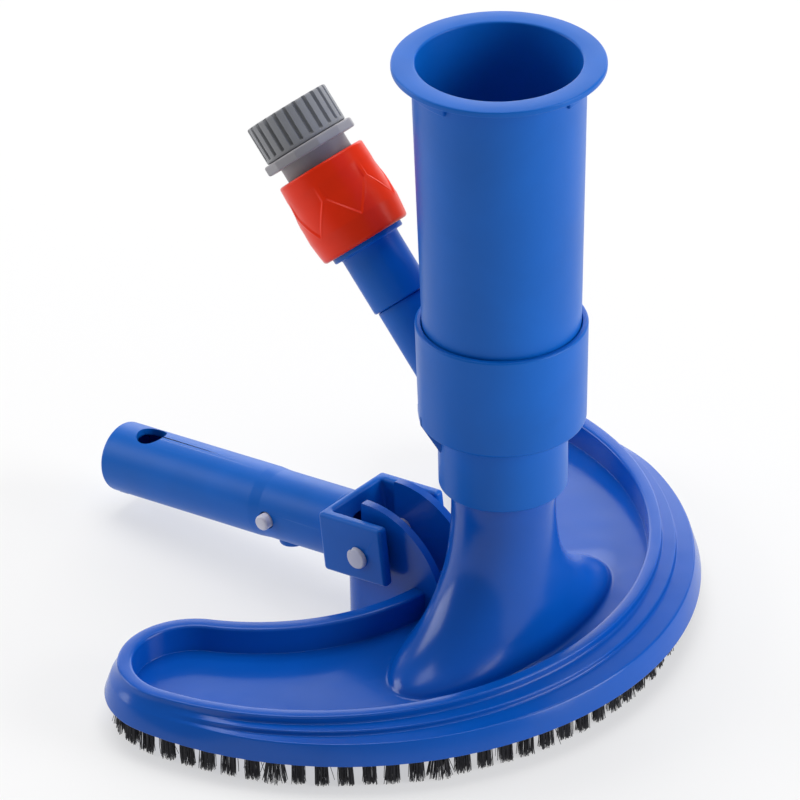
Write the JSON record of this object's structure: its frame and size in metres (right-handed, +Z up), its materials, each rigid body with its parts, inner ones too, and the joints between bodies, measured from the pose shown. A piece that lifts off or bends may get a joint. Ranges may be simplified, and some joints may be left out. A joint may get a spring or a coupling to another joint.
{
  "type": "manual vacuum head",
  "caption": "Crescent brush vacuum head with a funnel neck, an upright flanged bag tube, a slanted garden hose inlet with a quick connector, and a hinged pole handle.",
  "frame": {"origin": "centre of the bounding box in X and Y, on the floor under the tuft tips", "axes": "+X from horn to horn, +Y from the convex front to the handle, +Z up along the bag tube"},
  "size_m": [0.2592, 0.2457, 0.2512],
  "materials": {
    "deep_blue": "glossy, slightly rippled moulding",
    "satin_blue": "satin moulding",
    "black": "matt nylon",
    "rubber": "matt",
    "grey": "satin",
    "nut_grey": "satin",
    "orange": "semi-gloss",
    "white": "semi-gloss",
    "steel": "bright spring wire"
  },
  "bodies": {
    "head": {"head_shell": "deep_blue", "brush_strip": "black", "tufts_support": "black", "tufts_front": "black", "neck_seal": "rubber", "jet_ring": "grey", "collar": "satin_blue", "tube_seal": "rubber", "debris_tube": "satin_blue", "inlet_spigot": "satin_blue", "spigot_seal": "rubber", "connector_seal": "rubber"},
    "handle": {"handle": "satin_blue", "clip_spring": "steel", "pivot_pin": "white", "pin_retainer": "white"},
    "clip_left": {"clip_button_left": "white"},
    "clip_right": {"clip_button_right": "white"},
    "connector": {"connector_body": "grey", "catch_ring": "white", "connector_spring": "steel"},
    "sleeve": {"connector_sleeve": "orange"},
    "nut": {"hose_nut": "nut_grey"}
  },
  "joints": [
    {"name": "handle_pivot", "type": "hinge", "parent": "head", "child": "handle", "pos_m": [0, -0.01118, 0.0346], "axis": [1, 0, 0], "range_deg": [0, 40]},
    {"name": "clip_left_press", "type": "slide", "parent": "handle", "child": "clip_left", "axis": [1, 0, 0], "range_m": [0, 0.0035], "stiffness_N_per_m": 600, "deforming": ["clip_spring"]},
    {"name": "clip_right_press", "type": "slide", "parent": "handle", "child": "clip_right", "axis": [-1, 0, 0], "range_m": [0, 0.0035], "stiffness_N_per_m": 600},
    {"name": "connector_swivel", "type": "hinge", "parent": "head", "child": "connector", "pos_m": [0, 0.00873, 0.17119], "axis": [0, 0.6574, 0.7536], "continuous": true},
    {"name": "sleeve_release", "type": "slide", "parent": "connector", "child": "sleeve", "axis": [0, 0.6574, 0.7536], "range_m": [0, 0.0035], "stiffness_N_per_m": 900, "deforming": ["connector_spring"]},
    {"name": "nut_turn", "type": "hinge", "parent": "connector", "child": "nut", "pos_m": [0, 0.02846, 0.1938], "axis": [0, 0.6574, 0.7536], "continuous": true}
  ]
}
